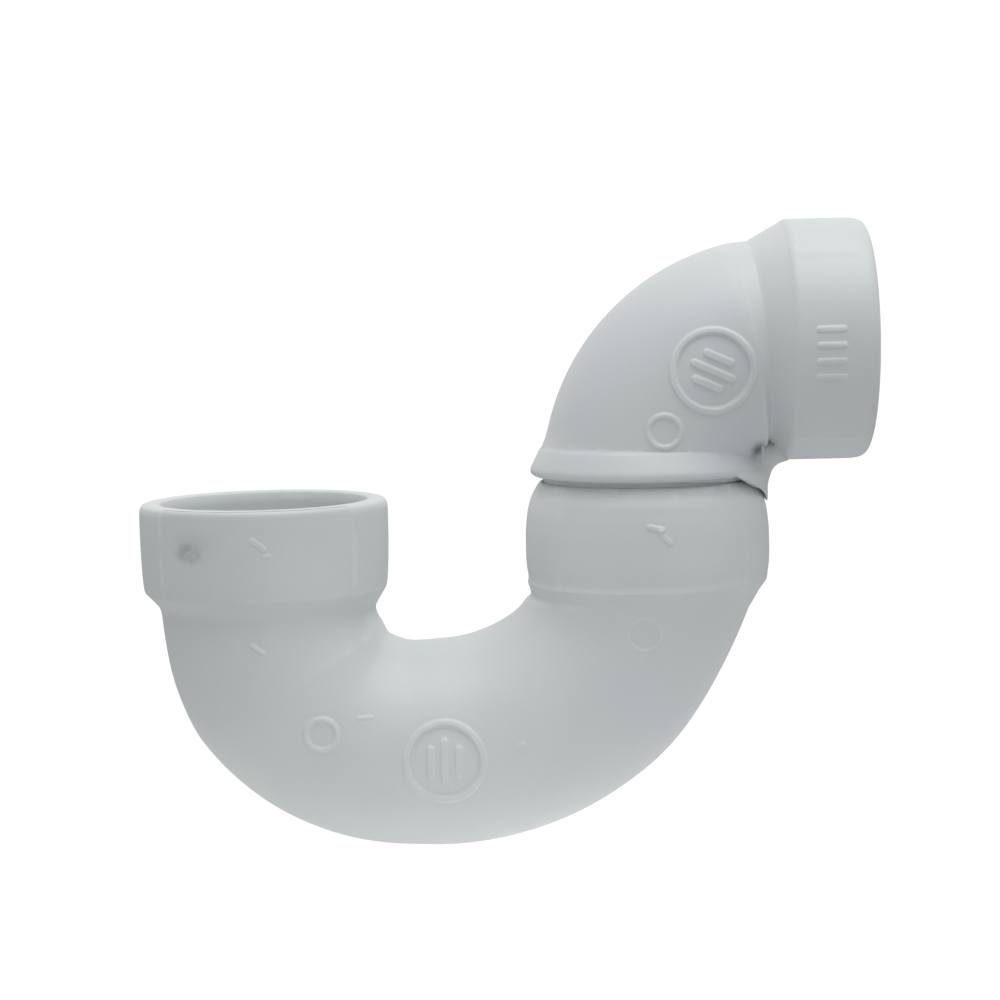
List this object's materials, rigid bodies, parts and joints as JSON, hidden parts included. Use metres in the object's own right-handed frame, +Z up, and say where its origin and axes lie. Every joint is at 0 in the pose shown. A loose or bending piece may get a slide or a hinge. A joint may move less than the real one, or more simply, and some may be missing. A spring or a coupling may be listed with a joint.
{
  "type": "drain p trap",
  "caption": "Plastic drain p trap: a U-shaped return bend with a socket on each leg, and a flanged street elbow that swivels in one leg and ends in a sideways socket.",
  "frame": {"origin": "centre of the inlet socket's mouth, in the plane of its rim", "axes": "+Z up out of the inlet mouth, along the inlet pipe; +X from the inlet towards the outlet; the XZ plane is the plane of symmetry at rest"},
  "size_m": [0.1709, 0.0584, 0.1463],
  "materials": {
    "pvc_bend": "moulded, semi-gloss, slightly cool white",
    "pvc_elbow": "moulded, semi-gloss, slightly cool white"
  },
  "bodies": {
    "bend": {"return_bend": "pvc_bend"},
    "elbow": {"trap_elbow": "pvc_elbow"}
  },
  "joints": [
    {"name": "elbow_swivel", "type": "hinge", "parent": "bend", "child": "elbow", "pos_m": [0.0903, 0, 0], "axis": [0, 0, 1], "continuous": true}
  ]
}
